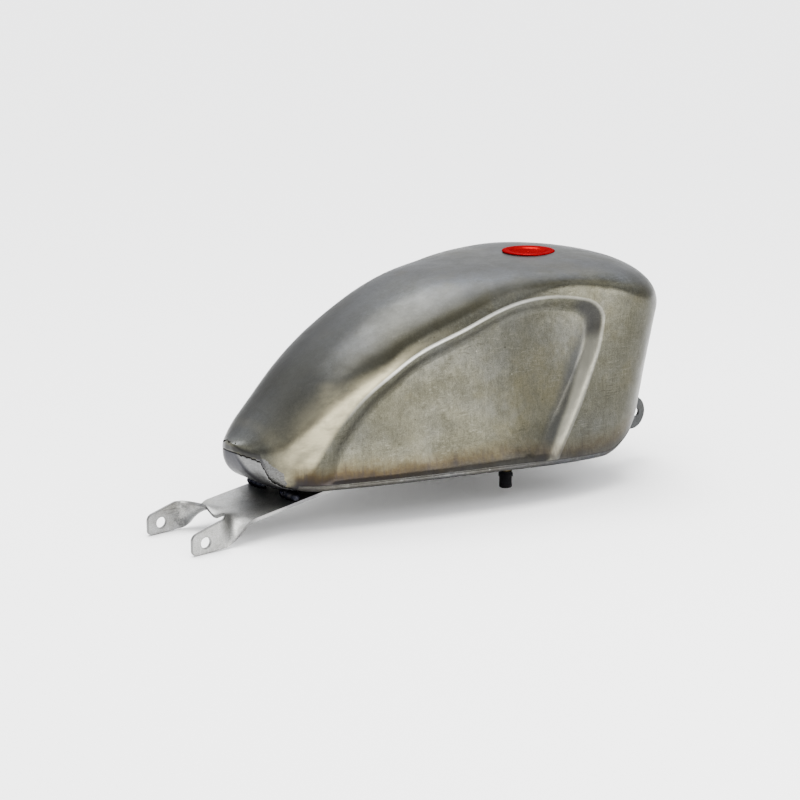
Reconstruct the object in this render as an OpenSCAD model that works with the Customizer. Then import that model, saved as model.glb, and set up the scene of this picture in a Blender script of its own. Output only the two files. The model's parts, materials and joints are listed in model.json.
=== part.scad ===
/* [Tank body] */
// Height of the tank base above the rear bolt holes
base_z = 29; // [26:1:32]
// Thickness of the pressed steel sheet
sheet = 1.6; // [1.2:0.1:2]
// Depth of the pressed dish in each side
dish_depth = 8; // [0:1:9]
// Width of the dish step along its upper edge
dish_step = 12; // [10:1:16]
// Width of the dish step along its front edge
dish_front_step = 12; // [11:1:16]
// Height of the seam between side shell and bottom pan above the base
seam_rise = 6; // [5:1:8]

/* [Backbone tunnel] */
// Clear width of the tunnel
tunnel_width = 88; // [86:1:92]
// Rise of the tunnel roof per millimetre of length
tunnel_slope = 0.085; // [0.07:0.005:0.1]

/* [Filler] */
// Distance of the filler neck from the rear bolt holes
filler_x = 426; // [420:1:430]
// Inside diameter of the filler neck
neck_bore_d = 45; // [43:1:46]
// Outside diameter of the plug rim
plug_rim_d = 54.4; // [53.5:0.1:56]

/* [Fuel outlet] */
// Distance of the outlet from the rear bolt holes
outlet_x = 330; // [322:1:336]
// Distance of the outlet from the centre plane
outlet_y = 79; // [74:1:84]
// Diameter of the outlet spigot
spigot_d = 8; // [7:0.5:8.5]

/* [Rear bracket] */
// Width of the strap and of the fork
strap_width = 81; // [80:1:82]
// Thickness of the bracket plate
plate = 3; // [2.6:0.1:3.2]
// Diameter of the rear bolt holes
rear_hole_d = 10.8; // [9.6:0.1:11.4]

/* [Front tabs] */
// Diameter of the front bolt holes
front_hole_d = 10.6; // [9.6:0.1:11.4]
// Outer radius of the tab eye
tab_eye_r = 17.8; // [15:0.1:18]

/* [Hidden] */

$fn = 48;

// ---------- guide curves of the pressed body, all in millimetres ----------
rear_x = 53;
front_x = 541;
rear_tip_z = 80;
front_tip_z = 172;
end_x = 425;

kx      = [54, 90, 140, 200, 270, 340, 410, 470, 534];
crown_k = [76, 103, 147, 184, 211, 218.5, 219.5, 222, 225];
half_k  = [30, 47, 65, 84, 103, 117, 121, 113.5, 93.5];
crest_k = [0.00, 0.02, 0.55, 0.73, 0.782, 0.862, 0.838, 0.68, 0.60];
lx      = [54, 140, 270, 400, 534];
lean_k  = [-0.10, 0.06, 0.23, 0.17, -0.57];
sharp_k = [2.2, 2.4, 2.7, 2.9, 2.0];
should_k = [0.50, 0.62, 0.70, 0.90, 0.58];
fz      = [25, 50, 80, 110, 140, 170];
fx      = [358, 376, 395.5, 410.5, 422, 427.5];

function clamp01(t) = max(0, min(1, t));
function ss(a, b, x) = let (t = clamp01((x - a) / (b - a))) t * t * (3 - 2 * t);
function seg(k, x, i = 0) = (i >= len(k) - 2 || x < k[i + 1]) ? i : seg(k, x, i + 1);
function sl(k, v, i) =
    i == 0 ? (v[1] - v[0]) / (k[1] - k[0]) :
    i == len(k) - 1 ? (v[i] - v[i - 1]) / (k[i] - k[i - 1]) :
    ((v[i + 1] - v[i]) / (k[i + 1] - k[i]) + (v[i] - v[i - 1]) / (k[i] - k[i - 1])) / 2;
function herm(k, v, x0) =
    let (x = max(k[0], min(k[len(k) - 1], x0)), i = seg(k, x), h = k[i + 1] - k[i], t = (x - k[i]) / h)
    (2 * t * t * t - 3 * t * t + 1) * v[i] + (t * t * t - 2 * t * t + t) * h * sl(k, v, i)
    + (3 * t * t - 2 * t * t * t) * v[i + 1] + (t * t * t - t * t) * h * sl(k, v, i + 1);
// 1 in the middle of the body, 0 at its tip
function close(k, p, q) = pow(1 - pow(clamp01(k), p), 1 / q);

function kf(x) = (x - end_x) / (front_x - end_x);
function kt(x) = (92 - x) / (92 - rear_x);
function mid_z(x) = 90 + (front_tip_z - 90) * ss(end_x - 60, front_x, x) + (rear_tip_z - 90) * ss(120, rear_x, x);
function top_z(x) = mid_z(x) + (herm(kx, crown_k, x) - mid_z(x)) * close(kf(x), 2.6, 2.6) * close(kt(x), 2.2, 2.2);
function tail_lift(x) = 5 * (1 - ss(70, 130, x));
function front_drop(x) = 5 * ss(290, 440, x);
function bot_z(x) = mid_z(x) - (mid_z(x) - base_z - tail_lift(x) + front_drop(x)) * close((x - end_x - 5) / (front_x - end_x - 5), 1.5, 1.8) * close(kt(x), 2, 2);
function half_w(x) = herm(kx, half_k, x) * close(kf(x), 2.7, 2.5) * close(kt(x), 2.2, 2.2);
function crest_z(x) = bot_z(x) + (top_z(x) - bot_z(x)) * herm(kx, crest_k, x);

// distance of the skin from the centre plane, without the dish
// s = [top, bottom, half width, shoulder height, sharpness, lean, corner radius]
function stat(x) =
    let (t = top_z(x), b = bot_z(x), w = half_w(x), zs = b + (t - b) * herm(lx, should_k, x))
    [t, b, w, zs, herm(lx, sharp_k, x), herm(lx, lean_k, x),
        min(8 + 16 * (1 - ss(54, 120, x)), 0.6 * (zs - b), 0.6 * w)];
function side_y(s, z) =
    let (t = s[0], b = s[1], w = s[2], zs = s[3], r = s[6],
        y = z >= zs ? w * pow(max(0, 1 - pow((z - zs) / max(t - zs, 0.001), s[4])), 1 / s[4])
            : z >= b + r ? w
            : w - r + sqrt(max(0, r * r - pow(b + r - z, 2))))
    y * (1 - s[5] * (z - b) / max(t - b, 0.001));
function smin(a, b, k) = let (h = clamp01(0.5 + 0.5 * (b - a) / k)) b + (a - b) * h - k * h * (1 - h);
function dish(x, z, zc, c) =
    let (dt = (zc - z) * c, df = (herm(fz, fx, z) - x) * 0.9, s = smin(dt, df, 16),
        f = df <= 0 ? 1 : clamp01(dt / (max(dt, 0) + df)))
    s <= 0 ? 0 : dish_depth * ss(60, 160, x) * (0.5 + 0.5 * ss(30, 75, z))
        * ss(0, dish_step + (dish_front_step + 18 * (1 - ss(40, 150, z)) - dish_step) * f, s);

// stations along the body and rows around it
xs = concat(
    [for (i = [0:6]) rear_x + 1 + (91 - rear_x) * (1 - cos(i * 15))],
    [for (i = [1:16]) 92 + i * 15.5],
    [for (i = [1:13]) 340 + i * 7.5],
    [for (i = [1:12]) 437.5 + (front_x - 0.8 - 437.5) * sin(i * 90 / 12)]);
crown_rows = 9;
function rows(x) =
    let (s = stat(x), t = s[0], b = s[1], r = s[6],
        zd = min(crest_z(x), t - 0.02 * (t - b)),
        zc = max(zd, b + r + 0.3 * (t - b - r)),
        c = 1 / sqrt(1 + pow((crest_z(x + 2) - crest_z(x - 2)) / 4, 2)),
        q = min(1, (t - b) / 120),
        z5 = max(zc - (dish_step + 1) / c * q, b + r + 0.25 * (zc - b - r)))
    concat(
        [for (i = [0:crown_rows]) let (z = t - (t - zc) * pow(i / crown_rows, 2.4)) [i == 0 ? 0 : side_y(s, z) - dish(x, z, zd, c), z]],
        [for (i = [1:5]) let (z = zc + (z5 - zc) * i / 5) [side_y(s, z) - dish(x, z, zd, c), z]],
        [for (i = [1:5]) let (z = z5 + (b + r - z5) * i / 5) [side_y(s, z) - dish(x, z, zd, c), z]],
        [for (i = [1:4]) let (z = b + r - r * sin(i * 22.5)) [side_y(s, z) - dish(x, z, zd, c), z]]);
function ring(x) = let (h = rows(x), m = len(h))
    concat([for (i = [0:m - 1]) [x, h[i][0], h[i][1]]], [for (i = [m - 1:-1:1]) [x, -h[i][0], h[i][1]]]);
grid = [for (x = xs) ring(x)];
nr = len(grid);
nc = len(grid[0]);
rear_tip = [rear_x, 0, rear_tip_z - 5.5];
front_tip = [front_x, 0, front_tip_z];
function unit(v) = v / max(norm(v), 1e-9);
function nrm(i, j) =
    let (a = i == 0 ? rear_tip : grid[i - 1][j], b = i == nr - 1 ? front_tip : grid[i + 1][j],
        c = grid[i][(j + nc - 1) % nc], d = grid[i][(j + 1) % nc])
    unit(cross(b - a, d - c));
normals = [for (i = [0:nr - 1]) [for (j = [0:nc - 1]) nrm(i, j)]];
// the inner skin leaves out the rings next to the tips, where the sheet is as thick as they are apart
function first(off) = off > 0 ? 1 : 0;
function body_points(off) = concat(
    [for (i = [first(off):nr - 1 - first(off)]) for (j = [0:nc - 1]) grid[i][j] - off * normals[i][j]],
    [rear_tip + [off, 0, 0], front_tip - [off, 0, 0]]);
function body_faces(n) = concat(
    [for (i = [0:n - 2]) for (j = [0:nc - 1]) let (k = (j + 1) % nc) each
        [[i * nc + j, i * nc + k, (i + 1) * nc + k], [i * nc + j, (i + 1) * nc + k, (i + 1) * nc + j]]],
    [for (j = [0:nc - 1]) [n * nc, (j + 1) % nc, j]],
    [for (j = [0:nc - 1]) [n * nc + 1, (n - 1) * nc + j, (n - 1) * nc + (j + 1) % nc]]);

module body(off) { polyhedron(points = body_points(off), faces = body_faces(nr - 2 * first(off))); }
module skin() { difference() { body(0); body(sheet); } }
// a profile drawn as [x, z] points, given a width across the tank
module across(pts, y0, y1) {
    translate([0, y1, 0]) rotate([90, 0, 0]) linear_extrude(y1 - y0) polygon(pts);
}

// ---------- tunnel ----------
tw = tunnel_width / 2;
roof0_x = 100;
function roof_z(x) = base_z + 6.5 + tunnel_slope * (x - roof0_x);
module tunnel_space(e) {
    across([[roof0_x - e, -20], [roof0_x - e, roof_z(roof0_x) + e], [570, roof_z(570) + e], [570, -20]], -tw - e, tw + e);
}

// ---------- where the pieces meet ----------
pan_front_x = 478;
module pan_zone() {
    xx = [for (i = [0:24]) roof0_x - 1 + i * (pan_front_x - roof0_x + 1) / 24];
    across(concat([for (x = xx) [x, bot_z(x) + seam_rise]], [[pan_front_x, -5], [roof0_x - 1, -5]]), -160, 160);
}
module tail_zone() {
    across([[40, 0], [roof0_x - 1, 0], [roof0_x - 1, 33], [91.35, 35.5], [84.35, 40], [77.35, 48], [73.35, 61], [70.35, 64.5], [62.35, 67.5], [55, 70.9], [40, 72.4]], -80, 80);
}
// the whole piece comes back as one sheet of triangles
module as_mesh() { resize([0, 0, 0]) children(); }

neck_r = 27.6;
module shell_half() {
    as_mesh() difference() {
        intersection() {
            skin();
            translate([0, 0, -10]) cube([600, 200, 300]);
        }
        pan_zone();
        tail_zone();
        tunnel_space(sheet);
        translate([filler_x, 0, 150]) rotate([0, 0, 180 / 64]) cylinder(h = 100, r = neck_r + 0.1, $fn = 64);
    }
}
module left_shell() { color([0.62, 0.62, 0.58]) shell_half(); }
module right_shell() { color([0.60, 0.60, 0.56]) mirror([0, 1, 0]) shell_half(); }

// root of the butt weld that joins the two shells, run along the inside of the crown
module rod(path, r, c = 6) {
    n = len(path) - 1;
    polyhedron(
        points = [for (i = [0:n]) let (d = unit(path[min(n, i + 1)] - path[max(0, i - 1)]), u = unit(cross([0, 1, 0.001], d)), v = cross(d, u))
            for (k = [0:c - 1]) path[i] + r * (cos(k * 360 / c) * u + sin(k * 360 / c) * v)],
        faces = concat([for (i = [0:n - 1]) for (k = [0:c - 1]) let (m = (k + 1) % c) each
                [[i * c + k, (i + 1) * c + m, i * c + m], [i * c + k, (i + 1) * c + k, (i + 1) * c + m]]],
            [[for (k = [0:c - 1]) k]], [[for (k = [c - 1:-1:0]) n * c + k]]));
}
module crown_seam_weld() {
    color([0.5, 0.5, 0.55]) {
        rod([for (x = [66:12:396]) [x, 0, top_z(x) - sheet - 0.3]], 1.5);
        rod([for (x = [456:8:528]) [x, 0, top_z(x) - sheet - 0.3]], 1.5);
    }
}

module pan_half(sy) {
    as_mesh() difference() {
        intersection() {
            skin();
            pan_zone();
            translate([0, sy > 0 ? 0 : -200, -10]) cube([600, 200, 300]);
        }
        tunnel_space(sheet);
        tail_zone();
        if (sy < 0) translate([outlet_x, -outlet_y, 0]) cylinder(h = 60, r = 11.1, $fn = 48);
    }
}
module left_bottom_pan() { color([0.5, 0.5, 0.5]) pan_half(1); }
module right_bottom_pan() { color([0.48, 0.48, 0.48]) pan_half(-1); }

// bead along the seam between side shell and bottom pan
function seam_pt(x, sy) = let (s = stat(x), z = bot_z(x) + seam_rise, zc = crest_z(x))
    [x, sy * (side_y(s, z) - dish(x, z, zc, 1) + 0.1), z];
module seam_bead(sy) {
    n = 40;
    c = 6;
    path = [for (i = [0:n]) seam_pt(roof0_x + 2 + i * (pan_front_x - roof0_x - 6) / n, sy)];
    polyhedron(
        points = [for (i = [0:n]) let (d = unit(path[min(n, i + 1)] - path[max(0, i - 1)]), u = unit(cross([0, 0, 1], d)), v = cross(d, u))
            for (k = [0:c - 1]) path[i] + 0.9 * (cos(k * 60) * u + sin(k * 60) * v)],
        faces = concat([for (i = [0:n - 1]) for (k = [0:c - 1]) let (m = (k + 1) % c) each
                [[i * c + k, (i + 1) * c + m, i * c + m], [i * c + k, (i + 1) * c + k, (i + 1) * c + m]]],
            [[for (k = [0:c - 1]) k]], [[for (k = [c - 1:-1:0]) n * c + k]]));
}
module left_seam_weld() { color([0.35, 0.33, 0.36]) seam_bead(1); }
module right_seam_weld() { color([0.35, 0.33, 0.36]) seam_bead(-1); }

module tail_plate() {
    color([0.75, 0.75, 0.75]) as_mesh() difference() {
        intersection() { skin(); tail_zone(); }
        tunnel_space(sheet);
    }
}

module tunnel_channel() {
    color([0.42, 0.44, 0.47]) as_mesh() difference() {
        intersection() { body(0); tunnel_space(sheet); }
        tunnel_space(0);
    }
}

// upright plate inside the tank that slows the fuel, with openings for it to pass
baffle_x = 262;
module slosh_baffle() {
    color([0.55, 0.55, 0.6]) as_mesh() difference() {
        intersection() {
            body(sheet + 0.3);
            translate([baffle_x, -150, 0]) cube([1.2, 300, 250]);
        }
        tunnel_space(sheet + 0.3);
        for (y = [-1, 1]) {
            translate([baffle_x - 5, y * 38, 140]) rotate([0, 90, 0]) cylinder(h = 10, r = 15, $fn = 32);
            translate([baffle_x - 5, y * 58, 88]) rotate([0, 90, 0]) cylinder(h = 10, r = 17, $fn = 32);
            translate([baffle_x - 5, y * 92 - 22, 20]) cube([10, 44, 22]);
        }
        translate([baffle_x - 5, 0, 84]) rotate([0, 90, 0]) cylinder(h = 10, r = 13, $fn = 32);
        translate([baffle_x - 5, -30, 188]) cube([10, 60, 40]);
    }
}

// ---------- filler ----------
crown_at_filler = top_z(filler_x);
neck_top = crown_at_filler - 0.9;
nb = neck_bore_d / 2;
module filler_neck() {
    color([0.66, 0.66, 0.68]) translate([filler_x, 0, 0]) rotate_extrude($fn = 96) difference() {
        translate([nb, neck_top - 27]) square([neck_r - nb, 27]);
        for (i = [0:3]) translate([nb, neck_top - 16 - i * 2.5]) rotate(45) square(0.9, center = true);
    }
}
plug_r = plug_rim_d / 2;
module filler_plug() {
    z = neck_top + 0.3;
    color([0.78, 0.03, 0.04]) translate([filler_x, 0, 0]) rotate_extrude($fn = 96) {
        // recessed centre
        translate([0, z - 2.2]) square([nb - 2, 2]);
        // skirt that sits in the neck
        translate([nb - 2.1, z - 14]) square([2.05, 14.4]);
        // flared rim
        difference() {
            translate([nb - 2.1, z]) square([plug_r - nb + 2.1, 1.9]);
            translate([plug_r, z]) rotate(45) square(0.8, center = true);
            translate([plug_r, z + 1.9]) rotate(45) square(1.0, center = true);
            translate([nb - 2.1, z + 1.9]) rotate(45) square(1.2, center = true);
        }
    }
}

// ---------- fuel outlet ----------
module at_outlet() { translate([outlet_x, -outlet_y, 0]) children(); }
sr = spigot_d / 2;
module outlet_bung() {
    color([0.6, 0.6, 0.6]) at_outlet() rotate_extrude($fn = 72) difference() {
        union() {
            translate([sr + 1, base_z - 5]) square([10 - sr, 12.5]);
            translate([sr + 1, base_z - 5]) square([12 - sr, 3]);
        }
        translate([13, base_z - 5]) rotate(45) square(1.6, center = true);
    }
}
module outlet_spigot() {
    color([0.7, 0.6, 0.35]) at_outlet() rotate_extrude($fn = 72) difference() {
        union() {
            translate([sr - 1.4, 5]) square([1.4, base_z + 1]);
            translate([sr - 1.4, base_z - 2.5]) square([2.37, 8.5]);
            translate([sr - 1.4, base_z - 8.6]) square([4.4, 3.3]);
        }
        translate([sr, 5]) rotate(45) square(0.9, center = true);
    }
}
module outlet_cap() {
    color([0.04, 0.04, 0.05]) at_outlet() rotate_extrude($fn = 72) {
        difference() {
            translate([0, 2]) square([6.3, 17]);
            translate([-1, 4.6]) square([sr + 1.05, 20]);
            translate([6.3, 2]) rotate(45) square(1.6, center = true);
        }
        translate([5, 13.4]) square([2.1, 3.6]);
    }
}

// ---------- rear bracket ----------
sw = strap_width / 2;
function strap_z(x) = 12 + 0.15 * (x - 50);
pad_x0 = 222;
pad_x1 = 276;
function pad_z(x) = roof_z(x) - 0.05;
// strap seen from the side: a straight run, a short ramp and a pad under the tunnel roof
strap_profile = [[36, strap_z(36)], [196, strap_z(196)], [pad_x0, pad_z(pad_x0)], [pad_x1, pad_z(pad_x1)],
    [pad_x1, pad_z(pad_x1) - plate], [pad_x0 + 1, pad_z(pad_x0 + 1) - plate], [197, strap_z(197) - plate], [36, strap_z(36) - plate]];
// fork leg that turns from lying flat in the strap to standing upright
leg_w = 27;
leg_n = 10;
function leg_ring(i) =
    let (u = i / leg_n, e = u * u * (3 - 2 * u), x = 54 - 39 * u, a = 90 * e,
        yc = sw - leg_w / 2 * cos(a) - plate / 2 * sin(a),
        zc = (strap_z(54) - plate / 2 - 0.15 * 39 * u) * (1 - e) + 3.8 * e)
    [for (p = [[-leg_w / 2, -plate / 2], [leg_w / 2, -plate / 2], [leg_w / 2, plate / 2], [-leg_w / 2, plate / 2]])
        [x, yc + p[0] * cos(a) + p[1] * sin(a), zc - p[0] * sin(a) + p[1] * cos(a)]];
module leg(sy) {
    mirror([0, sy < 0 ? 1 : 0, 0]) polyhedron(
        points = [for (i = [0:leg_n]) each leg_ring(i)],
        faces = concat([for (i = [0:leg_n - 1]) for (k = [0:3]) let (m = (k + 1) % 4) each
                [[i * 4 + k, i * 4 + m, (i + 1) * 4 + m], [i * 4 + k, (i + 1) * 4 + m, (i + 1) * 4 + k]]],
            [[3, 2, 1, 0]], [[for (k = [0:3]) leg_n * 4 + k]]));
}
module ear(y0, y1) {
    difference() {
        union() {
            across([[-14.3, -6], [-14.3, 4.6], [-9.2, 10.1], [16, 17.2], [16, -9.7], [-9.5, -10.8]], y0, y1);
            // rounded corners of the tip
            translate([-9.8, y1, 5.2]) rotate([90, 0, 0]) cylinder(h = y1 - y0, r = 4.9, $fn = 48);
            translate([-9.4, y1, -5.9]) rotate([90, 0, 0]) cylinder(h = y1 - y0, r = 4.9, $fn = 48);
        }
        translate([0, y1 + 5, 0]) rotate([90, 0, 0]) cylinder(h = y1 - y0 + 10, d = rear_hole_d, $fn = 64);
    }
}
module rear_bracket() {
    color([0.55, 0.56, 0.57]) union() {
        difference() {
            across(strap_profile, -sw, sw);
            // gap between the two fork legs
            for (sy = [-1, 1]) translate([30, sy > 0 ? sw - leg_w : -sw - 1, -20]) cube([23.9, leg_w + 1, 60]);
        }
        for (sy = [-1, 1]) leg(sy);
        ear(sw - plate, sw);
        ear(-sw, -sw + plate);
    }
}
// heaps of weld that tie the strap to the tank beside the tunnel mouth
module bracket_heap(sy) {
    difference() {
        union() {
            translate([103, sy * 21, 23.5]) sphere(r = 5.6, $fn = 32);
            translate([104, sy * 27.5, 24.5]) sphere(r = 6.2, $fn = 32);
            translate([104, sy * 34, 23.5]) sphere(r = 5.4, $fn = 32);
        }
        across([[80, 0], [130, 0], [130, strap_z(130)], [80, strap_z(80)]], -100, 100);
    }
}
module left_bracket_weld() { color([0.16, 0.18, 0.24]) bracket_heap(1); }
module right_bracket_weld() { color([0.16, 0.18, 0.24]) bracket_heap(-1); }
module strap_pad_weld() {
    color([0.22, 0.22, 0.27]) for (sy = [-1, 1])
        translate([pad_x0 + 6, sy * (sw + 0.6), pad_z(pad_x0 + 6) - 1.2]) rotate([0, 90 - atan(tunnel_slope), 0])
            cylinder(h = 42, r = 1.6, $fn = 24);
}

// ---------- front tabs ----------
tab_x = 544.5;
tab_z = 38;
eye_x = tab_x - 4.5;
tab_t = 3;
module front_tab(y0) {
    y1 = y0 + tab_t;
    difference() {
        union() {
            across([[480, 46], [480, 61], [501, 64], [529, 70], [eye_x + tab_eye_r * 0.73, tab_z + tab_eye_r * 0.684],
                [eye_x, tab_z], [eye_x - tab_eye_r * 0.512, tab_z - tab_eye_r * 0.859], [500, 44]], y0, y1);
            translate([eye_x, y1, tab_z]) rotate([90, 0, 0]) cylinder(h = tab_t, r = tab_eye_r, $fn = 96);
        }
        translate([tab_x, y1 + 5, tab_z]) rotate([90, 0, 0]) cylinder(h = tab_t + 10, d = front_hole_d, $fn = 64);
    }
}
module left_front_tab() { color([0.42, 0.43, 0.44]) front_tab(tw - tab_t - 0.02); }
module right_front_tab() { color([0.42, 0.43, 0.44]) front_tab(-tw + 0.02); }
module tab_bead(sy) {
    y = sy * (tw - 1.3);
    translate([480.4, y, 61.7]) rotate([0, 90 - atan(3 / 21), 0]) cylinder(h = 16, r = 1.8, $fn = 24);
    translate([479.5, y, 54]) cylinder(h = 7.5, r = 1.8, $fn = 24);
}
module left_tab_weld() { color([0.2, 0.2, 0.24]) tab_bead(1); }
module right_tab_weld() { color([0.2, 0.2, 0.24]) tab_bead(-1); }

left_shell();
right_shell();
crown_seam_weld();
left_bottom_pan();
right_bottom_pan();
left_seam_weld();
right_seam_weld();
tail_plate();
tunnel_channel();
slosh_baffle();
filler_neck();
filler_plug();
outlet_bung();
outlet_spigot();
outlet_cap();
rear_bracket();
left_bracket_weld();
right_bracket_weld();
strap_pad_weld();
left_front_tab();
right_front_tab();
left_tab_weld();
right_tab_weld();
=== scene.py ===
import json
import math

import bmesh
import bpy
import numpy as np
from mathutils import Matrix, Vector, noise

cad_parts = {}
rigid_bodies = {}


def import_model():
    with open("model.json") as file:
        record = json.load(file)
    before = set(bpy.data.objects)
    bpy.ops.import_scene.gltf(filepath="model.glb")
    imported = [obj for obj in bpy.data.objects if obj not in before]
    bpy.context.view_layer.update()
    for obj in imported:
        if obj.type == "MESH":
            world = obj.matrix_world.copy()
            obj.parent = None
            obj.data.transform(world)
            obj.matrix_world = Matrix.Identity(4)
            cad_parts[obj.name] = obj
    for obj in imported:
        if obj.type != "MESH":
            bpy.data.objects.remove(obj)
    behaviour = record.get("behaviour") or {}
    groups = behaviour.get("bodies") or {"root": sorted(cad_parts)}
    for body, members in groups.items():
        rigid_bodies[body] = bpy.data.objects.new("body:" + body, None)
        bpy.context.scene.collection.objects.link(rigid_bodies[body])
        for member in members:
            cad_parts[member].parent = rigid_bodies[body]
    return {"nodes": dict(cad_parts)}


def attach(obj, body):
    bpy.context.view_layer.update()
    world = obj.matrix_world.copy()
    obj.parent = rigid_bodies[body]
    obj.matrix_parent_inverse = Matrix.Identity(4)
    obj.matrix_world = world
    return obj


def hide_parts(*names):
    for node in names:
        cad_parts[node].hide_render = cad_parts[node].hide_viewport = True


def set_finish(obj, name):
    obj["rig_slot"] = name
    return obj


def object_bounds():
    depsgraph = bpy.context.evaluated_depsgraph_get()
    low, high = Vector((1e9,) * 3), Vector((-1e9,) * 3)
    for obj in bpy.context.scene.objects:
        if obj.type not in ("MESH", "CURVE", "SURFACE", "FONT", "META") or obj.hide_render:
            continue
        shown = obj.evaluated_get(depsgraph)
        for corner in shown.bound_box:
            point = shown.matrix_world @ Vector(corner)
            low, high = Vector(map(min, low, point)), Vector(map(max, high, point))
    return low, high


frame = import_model()
cad_lo, cad_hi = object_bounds()
MM = 0.001

# ---------------------------------------------------------------- body curves
# The pressed body is drawn by the same curves as the CAD model, in millimetres.
BASE_Z, REAR_X, FRONT_X, END_X = 29.0, 53.0, 541.0, 425.0
REAR_TIP_Z, FRONT_TIP_Z = 80.0, 172.0
TAIL_END_X = 92.0
SHEET = 1.6
DISH_DEPTH, DISH_STEP, DISH_FRONT_STEP = 8.0, 12.0, 12.0
SEAM_RISE = 6.0
TUNNEL_HALF, TUNNEL_SLOPE, ROOF0_X = 44.0, 0.085, 100.0
FILLER_X, NECK_R, NECK_BORE_R, PLUG_R = 426.0, 27.6, 22.5, 27.2
OUTLET_X, OUTLET_Y, SPIGOT_R = 330.0, -79.0, 4.0
PAN_X0, PAN_X1 = 99.0, 478.0
AWAY = 9.0  # stands for any distance too far off to matter
NECK_REGION_Z = 150.0  # the filler hole is looked for only above this height

KX = [54, 90, 140, 200, 270, 340, 410, 470, 534]
CROWN = [76, 103, 147, 184, 211, 218.5, 219.5, 222, 225]
HALF = [30, 47, 65, 84, 103, 117, 121, 113.5, 93.5]
CREST = [0.00, 0.02, 0.55, 0.73, 0.782, 0.862, 0.838, 0.68, 0.60]
LX = [54, 140, 270, 400, 534]
LEAN = [-0.10, 0.06, 0.23, 0.17, -0.57]
SHARP = [2.2, 2.4, 2.7, 2.9, 2.0]
SHOULDER = [0.50, 0.62, 0.70, 0.90, 0.58]
FZ = [25, 50, 80, 110, 140, 170]
FX = [358, 376, 395.5, 410.5, 422, 427.5]


def c01(t):
    return np.clip(t, 0.0, 1.0)


def ss(a, b, x):
    t = c01((x - a) / (b - a))
    return t * t * (3 - 2 * t)


def herm(k, v, x):
    k, v = np.array(k, float), np.array(v, float)
    x = np.clip(x, k[0], k[-1])
    d = np.diff(v) / np.diff(k)
    m = np.concatenate([[d[0]], (d[1:] + d[:-1]) / 2, [d[-1]]])
    i = np.clip(np.searchsorted(k, x, side="right") - 1, 0, len(k) - 2)
    h = k[i + 1] - k[i]
    t = (x - k[i]) / h
    return ((2 * t**3 - 3 * t**2 + 1) * v[i] + (t**3 - 2 * t**2 + t) * h * m[i]
            + (3 * t**2 - 2 * t**3) * v[i + 1] + (t**3 - t**2) * h * m[i + 1])


def close(k, p, q):
    return (1 - c01(k) ** p) ** (1 / q)


def kf(x):
    return (x - END_X) / (FRONT_X - END_X)


def kt(x):
    return (TAIL_END_X - x) / (TAIL_END_X - REAR_X)


def mid_z(x):
    return (90 + (FRONT_TIP_Z - 90) * ss(END_X - 60, FRONT_X, x)
            + (REAR_TIP_Z - 90) * ss(120, REAR_X, x))


def top_z(x):
    m = mid_z(x)
    return m + (herm(KX, CROWN, x) - m) * close(kf(x), 2.6, 2.6) * close(kt(x), 2.2, 2.2)


def bot_z(x):
    m = mid_z(x)
    lift = 5 * (1 - ss(70, 130, x)) - 5 * ss(290, 440, x)
    front = close((x - END_X - 5) / (FRONT_X - END_X - 5), 1.5, 1.8)
    return m - (m - BASE_Z - lift) * front * close(kt(x), 2, 2)


def half_w(x):
    return herm(KX, HALF, x) * close(kf(x), 2.7, 2.5) * close(kt(x), 2.2, 2.2)


def crest_z(x):
    return bot_z(x) + (top_z(x) - bot_z(x)) * herm(KX, CREST, x)


def roof_z(x):
    return BASE_Z + 6.5 + TUNNEL_SLOPE * (x - ROOF0_X)


def dish_s(x, z):
    """How far a point lies inside the dish's rim, and how much of that is its front edge."""
    slope = (crest_z(x + 2) - crest_z(x - 2)) / 4
    dt = (crest_z(x) - z) / np.sqrt(1 + slope**2)
    df = (herm(FZ, FX, z) - x) * 0.9
    h = c01(0.5 + 0.5 * (df - dt) / 16)
    s = df + (dt - df) * h - 16 * h * (1 - h)
    f = np.where(df <= 0, 1.0, c01(dt / (np.maximum(dt, 0) + np.maximum(df, 1e-6))))
    return s, f


def dish(x, z):
    s, f = dish_s(x, z)
    top_step = DISH_STEP + 6 + 8 * (1 - ss(110, 230, x))
    step = top_step + (DISH_FRONT_STEP + 14 * (1 - ss(40, 150, z)) - top_step) * f
    deep = DISH_DEPTH * ss(60, 160, x) * (0.5 * ss(31, 40, z) + 0.5 * ss(30, 75, z))
    return np.where(s <= 0, 0.0, deep * ss(0, step, np.maximum(s, 0)))


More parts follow.
